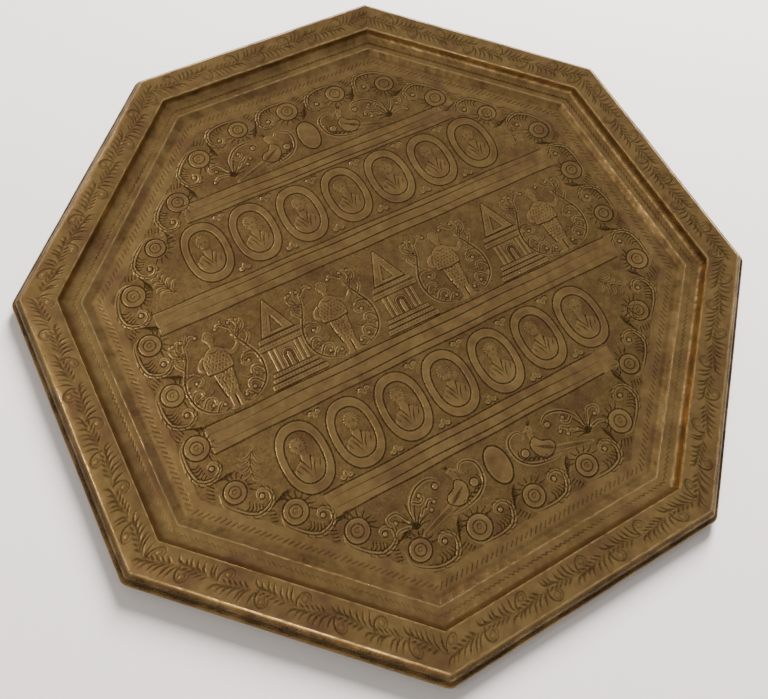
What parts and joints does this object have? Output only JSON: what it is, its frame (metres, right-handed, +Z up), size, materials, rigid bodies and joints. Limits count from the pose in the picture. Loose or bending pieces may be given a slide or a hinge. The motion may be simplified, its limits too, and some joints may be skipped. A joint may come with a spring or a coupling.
{
  "type": "tray",
  "caption": "Octagonal brass tray with a flat engraved floor, a narrow ledge and cove, a raised flange and a flared edge rolled over a wire.",
  "frame": {"origin": "on the table, at the centre of the floor's underside", "axes": "+Z up out of the tray; +X along the engraved bands, to their right when read; +Y towards the top of the picture; flats of the octagon face +X, -X, +Y and -Y"},
  "size_m": [0.42, 0.42, 0.0125],
  "materials": {
    "tray_brass": "aged brass, hand engraved, brown patina in the cuts and worn bright along the creases",
    "wire_iron": "drawn iron wire, dull and lightly oxidised"
  },
  "bodies": {
    "root": {"tray_sheet": "tray_brass", "rim_wire": "wire_iron"}
  },
  "joints": []
}
